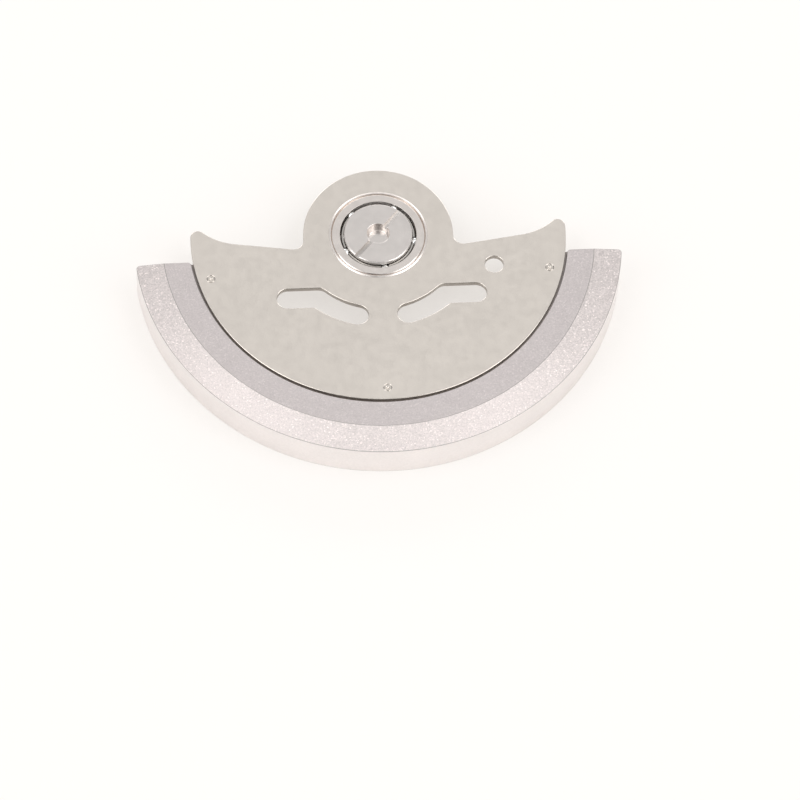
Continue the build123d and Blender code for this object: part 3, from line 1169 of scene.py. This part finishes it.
class ROTOR_OT_core(bpy.types.Operator):
    """Models the slotted core with its race, shank and threaded stud"""
    bl_idname = "rotor.core"
    bl_label = "Core"

    def execute(self, context):
        size = millimetres(context.scene.rotor_bearing)
        finish = context.scene.rotor_finish
        top = CORE_HIGH.z
        rim = CORE_HIGH.x
        ball_height = ball_centre(BALL_NODES[0]).z
        outline = [
            (0, -size.thread_pitch),
            (size.undercut_radius, -size.thread_pitch),
            (size.undercut_radius, 0),
            (size.shank_radius, 0),
            (size.shank_radius, ball_height),
            (size.race_root_radius, ball_height),
            (size.race_root_radius, ball_height + race_rise(size, size.race_root_radius)),
            (rim, ball_height + race_rise(size, rim)),
            (rim, top - size.bevel_fall),
            (rim - size.bevel_width, top),
            (size.dish_radius, top),
            (size.dish_floor_radius, top - size.dish_depth),
            (0, top - size.dish_depth),
        ]
        core = turned("core_screw_finish", outline)
        coat(core, turned_steel("core_lapped_steel", finish.steel, LAPPED))
        coat(core, bright_edge("core_edge", finish.steel))
        break_edges(core, size.edge_break, own_edge=True)
        saw = self.saw(size, top)
        # The slot's floor: saw marks, and a darker tone as painted shade
        coat(saw, milled_steel("core_slot_painted_shade", finish.slot))
        combine(core, saw, "DIFFERENCE", materials="TRANSFER")
        # the slot's walls keep the polish that the head has
        for face in core.data.polygons:
            if face.material_index == CORE_SLOT and abs(face.normal.z) < LEVEL_RISE:
                face.material_index = CORE_STEEL
        # Painted light: the core's race gets the lighter race tone to lighten the gap
        paint(core, turned_steel("core_dull_race_painted_light", finish.race, DULL_RACE), lambda face: (
            face.material_index != CORE_SLOT
            and face.center.xy.length > size.race_root_radius - WELD
            and face.center.z < top - size.bevel_fall))
        combine(core, self.thread(size), "UNION")
        finish_piece(core, ["core_screw"], "core")
        return {"FINISHED"}

    def saw(self, size, top):
        """The round saw that cuts the screwdriver slot."""
        half = size.slot_width / 2
        saw = round_cutter("saw", ORIGIN, size.slot_saw_radius, -half, half)
        saw.rotation_euler = (pi / 2, 0, size.slot_angle)
        saw.location.z = top - size.slot_depth + size.slot_saw_radius
        return saw

    def thread(self, size):
        """The stud: a thread wound up the axis and cut square at both ends."""
        pitch = size.thread_pitch
        depth = THREAD_DEPTH_SHARE * pitch
        root = size.stud_radius - depth
        start = CORE_LOW.z - SPARE_TURNS * pitch
        pen = Pen("stud_thread", (root, 0, start))
        pen.line(*[(root + depth * out, 0, start + pitch * along)
                   for out, along in THREAD_FORM_SHARES])
        leave()
        stud = pen.piece
        turns = int(-CORE_LOW.z / pitch) + 2 * SPARE_TURNS
        apply(stud, "SCREW", angle=2 * pi, screw_offset=pitch, iterations=turns,
              steps=SMALL_ROUND_STEPS, render_steps=SMALL_ROUND_STEPS, axis="Z",
              use_merge_vertices=True, merge_threshold=WELD, use_normal_calculate=True)
        edit(stud)
        mend()
        for height, way in ((CORE_LOW.z, -1), (-THREAD_TOP_SHARE * pitch, 1)):
            select_all()
            bpy.ops.mesh.bisect(plane_co=(0, 0, height), plane_no=(0, 0, way), use_fill=True,
                                clear_outer=True, threshold=WELD)
        mend()
        leave()
        return stud


class ROTOR_OT_inner_cone(bpy.types.Operator):
    """Models the lower inner race that is pressed on the core"""
    bl_idname = "rotor.inner_cone"
    bl_label = "Inner cone"

    def execute(self, context):
        size = millimetres(context.scene.rotor_bearing)
        finish = context.scene.rotor_finish
        high, low, rim = CONE_HIGH.z, CONE_LOW.z, CONE_HIGH.x
        bore = size.shank_radius + PRESS
        outline = [
            (bore, low), (bore, high), (size.race_root_radius, high),
            (size.race_root_radius, high - race_rise(size, size.race_root_radius)),
            (rim, high - race_rise(size, rim)), (rim, low),
        ]
        cone = turned("inner_cone_finish", outline)
        coat(cone, turned_steel("cone_ground_steel", finish.steel))
        break_edges(cone, size.edge_break)
        finish_piece(cone, ["inner_cone"], "core")
        return {"FINISHED"}


class ROTOR_OT_cage(bpy.types.Operator):
    """Models the crown cage with a pocket for each ball"""
    bl_idname = "rotor.cage"
    bl_label = "Cage"

    def execute(self, context):
        size = millimetres(context.scene.rotor_bearing)
        finish = context.scene.rotor_finish
        pocket_radius = ball_radius() + size.pocket_clearance
        outer = CAGE_HIGH.x
        inner = CORE_HIGH.x + (size.bore_radius - outer)
        low, high = CAGE_LOW.z, CAGE_HIGH.z
        chamfer = size.cage_chamfer
        cage = turned("ball_cage_finish", [
            (inner, low), (outer, low), (outer, high - chamfer), (outer - chamfer, high),
            (inner, high)])
        for node in BALL_NODES:
            centre = ball_centre(node)
            pen = Pen("pocket", (pocket_radius, 0, 0))
            pen.arc(ORIGIN, 2 * pi)
            pocket = prism(pen, 0, 2 * OVERRUN)
            pocket.rotation_euler = (0, pi / 2, bearing_of(centre))
            inwards = Vector((centre.x, centre.y, 0)).normalized() * OVERRUN
            pocket.location = centre - inwards
            combine(cage, pocket, "DIFFERENCE")
        # The cage's darker tone is painted shade in the bearing's gap
        coat(cage, turned_steel("cage_steel_painted_shade", finish.cage, STRIP))
        break_edges(cage, size.ring_edge_break)
        finish_piece(cage, ["ball_cage"], "cage")
        return {"FINISHED"}


# A ball starts as a cube whose edges are cut so many times
BALL_CUTS = 11


class ROTOR_OT_balls(bpy.types.Operator):
    """Models one ball and copies it to every pocket"""
    bl_idname = "rotor.balls"
    bl_label = "Balls"

    def execute(self, context):
        material = ball_steel(context.scene.rotor_finish.ball)
        deselect()
        bpy.ops.mesh.primitive_cube_add(size=2 * ball_radius())
        first = bpy.context.object
        first.name = first.data.name = "ball"
        bpy.ops.object.mode_set(mode="EDIT")
        select_all()
        bpy.ops.mesh.subdivide(number_cuts=BALL_CUTS)
        leave()
        apply(first, "CAST", factor=1.0, cast_type="SPHERE", use_radius_as_size=False,
              size=ball_radius())
        for node in BALL_NODES:
            ball = copy_of(first, node + "_finish")
            move(ball, ball_centre(node))
            coat(ball, material)
            finish_piece(ball, [node], node + "_body")
        bpy.data.objects.remove(first)
        return {"FINISHED"}


class ROTOR_OT_stage(bpy.types.Operator):
    """Sets the floor, the light and the camera"""
    bl_idname = "rotor.stage"
    bl_label = "Stage"

    def execute(self, context):
        settings = context.scene.rotor_stage
        self.floor(settings)
        self.world(settings)
        self.lamps(settings)
        self.camera(settings)
        context.scene.view_settings.view_transform = "Standard"
        return {"FINISHED"}

    def floor(self, settings):
        """A wide white floor under the weight, which keeps a faint shadow."""
        deselect()
        bpy.ops.mesh.primitive_plane_add(size=settings.floor_side,
                                         location=(0, 0, cad_bounds[0].z))
        floor = bpy.context.object
        floor.name = "floor"
        material = bpy.data.materials.new("floor_white")
        nodes = Nodes(material)
        nodes.tree.nodes.clear()
        lit = nodes.add("ShaderNodeBsdfDiffuse")
        lit.inputs["Color"].default_value = (*settings.floor_colour, 1)
        plain = nodes.add("ShaderNodeEmission")
        plain.inputs["Color"].default_value = (*settings.floor_glow, 1)
        seen = nodes.add("ShaderNodeMixShader")
        plain_share = seen_directly(nodes, settings.floor_white, settings.floor_mirrored)
        nodes.link(plain_share, seen.inputs["Fac"])
        nodes.link(lit.outputs["BSDF"], seen.inputs[1])
        nodes.link(plain.outputs["Emission"], seen.inputs[2])
        output = nodes.add("ShaderNodeOutputMaterial")
        nodes.link(seen.outputs["Shader"], output.inputs["Surface"])
        floor.data.materials.append(material)

    def world(self, settings):
        """A white tent with a dark opening for the camera; plain white where it is seen."""
        world = bpy.data.worlds.new("white_tent")
        nodes = Nodes(world)
        nodes.tree.nodes.clear()
        direction = nodes.add("ShaderNodeTexCoord")
        towards = nodes.add("ShaderNodeVectorMath", operation="DOT_PRODUCT")
        towards.inputs[1].default_value = aim(settings.azimuth - pi / 2, settings.opening_height)
        nodes.link(direction.outputs["Generated"], towards.inputs[0])
        level = nodes.add("ShaderNodeMapRange", interpolation_type="SMOOTHSTEP")
        blur = settings.opening_reach * OPENING_BLUR_SHARE
        level.inputs["From Min"].default_value = cos(settings.opening_reach + blur)
        level.inputs["From Max"].default_value = cos(settings.opening_reach - blur)
        level.inputs["To Min"].default_value = settings.tent_level
        level.inputs["To Max"].default_value = settings.opening_level
        nodes.link(towards.outputs["Value"], level.inputs["Value"])
        tent = nodes.add("ShaderNodeBackground")
        nodes.link(level.outputs["Result"], tent.inputs["Strength"])
        plain = nodes.add("ShaderNodeBackground")
        for light in (tent, plain):
            light.inputs["Color"].default_value = (1, 1, 1, 1)
        path = nodes.add("ShaderNodeLightPath")
        mix = nodes.add("ShaderNodeMixShader")
        nodes.link(path.outputs["Is Camera Ray"], mix.inputs["Fac"])
        nodes.link(tent.outputs["Background"], mix.inputs[1])
        nodes.link(plain.outputs["Background"], mix.inputs[2])
        output = nodes.add("ShaderNodeOutputWorld")
        nodes.link(mix.outputs["Shader"], output.inputs["Surface"])
        bpy.context.scene.world = world

    def lamps(self, settings):
        """Soft boxes round the rotor, all aimed at it."""
        for name, azimuth, elevation, width, height, level in SOFT_BOXES:
            data = bpy.data.lights.new(name, "AREA")
            data.shape = "RECTANGLE"
            data.size, data.size_y = width, height
            data.energy = level * pi * width * height
            lamp = bpy.data.objects.new(name, data)
            direction = aim(radians(azimuth), radians(elevation))
            lamp.location = direction * settings.lamp_distance
            lamp.rotation_euler = direction.to_track_quat("Z", "Y").to_euler()
            bpy.context.scene.collection.objects.link(lamp)

    def camera(self, settings):
        """A camera at the photograph's viewing angle."""
        up_angle, roll = settings.elevation, settings.roll
        right = Vector((1, 0, 0))
        forward = Vector((0, cos(up_angle), -sin(up_angle)))
        down = Vector((0, -sin(up_angle), -cos(up_angle)))
        picture_right = right * cos(roll) + down * sin(roll)
        picture_down = down * cos(roll) - right * sin(roll)
        focal = settings.lens_mm / SENSOR_MM * IMAGE_SIDE
        across = (settings.axis_pixel_x - IMAGE_SIDE / 2) / focal * settings.distance
        below = (settings.axis_pixel_y - IMAGE_SIDE / 2) / focal * settings.distance
        place = -(picture_right * across + picture_down * below + forward * settings.distance)
        turned_about = Matrix.Rotation(settings.azimuth, 3, "Z")
        axes = Matrix((picture_right, -picture_down, -forward)).transposed()
        data = bpy.data.cameras.new("camera")
        data.lens, data.sensor_width = settings.lens_mm, SENSOR_MM
        data.clip_start, data.clip_end = NEAREST_SEEN, FARTHEST_SEEN
        camera = bpy.data.objects.new("camera", data)
        camera.rotation_euler = (turned_about @ axes).to_euler()
        camera.location = turned_about @ place + Vector((0, 0, PLATE_HIGH.z * MM))
        bpy.context.scene.collection.objects.link(camera)
        bpy.context.scene.camera = camera


class ROTOR_PT_panel(bpy.types.Panel):
    """Lists the pieces of the rotor"""
    bl_idname = "ROTOR_PT_panel"
    bl_label = "Watch Rotor"
    bl_space_type = "VIEW_3D"
    bl_region_type = "UI"
    bl_category = "Rotor"

    def draw(self, context):
        layout = self.layout
        for operator in OPERATORS:
            layout.operator(operator.bl_idname)
        for name, group in GROUPS.items():
            column = layout.column(heading=group.__doc__)
            for setting in group.__annotations__:
                column.prop(getattr(context.scene, name), setting)


OPERATORS = (
    ROTOR_OT_plate, ROTOR_OT_weight, ROTOR_OT_rivets, ROTOR_OT_outer_ring, ROTOR_OT_drive_wheel,
    ROTOR_OT_core, ROTOR_OT_inner_cone, ROTOR_OT_cage, ROTOR_OT_balls, ROTOR_OT_stage,
)
GROUPS = {
    "rotor_plate": RotorPlateSettings,
    "rotor_windows": RotorWindowSettings,
    "rotor_weight": RotorWeightSettings,
    "rotor_rivets": RotorRivetSettings,
    "rotor_bearing": RotorBearingSettings,
    "rotor_wheel": RotorWheelSettings,
    "rotor_finish": RotorFinishSettings,
    "rotor_stage": RotorStageSettings,
}


def register():
    """Adds the settings, the operators and the panel."""
    for cls in (*GROUPS.values(), *OPERATORS, ROTOR_PT_panel):
        bpy.utils.register_class(cls)
    for name, group in GROUPS.items():
        setattr(bpy.types.Scene, name, PointerProperty(type=group))


def unregister():
    """Takes them away again."""
    for name in GROUPS:
        delattr(bpy.types.Scene, name)
    for cls in reversed((*GROUPS.values(), *OPERATORS, ROTOR_PT_panel)):
        bpy.utils.unregister_class(cls)


def main():
    """Models every piece, sets the stage and writes both boxes."""
    register()
    bpy.ops.rotor.plate()
    bpy.ops.rotor.weight()
    bpy.ops.rotor.rivets()
    bpy.ops.rotor.outer_ring()
    bpy.ops.rotor.drive_wheel()
    bpy.ops.rotor.core()
    bpy.ops.rotor.inner_cone()
    bpy.ops.rotor.cage()
    bpy.ops.rotor.balls()
    bpy.ops.rotor.stage()
    bpy.context.view_layer.update()


if __name__ == "__main__":
    main()
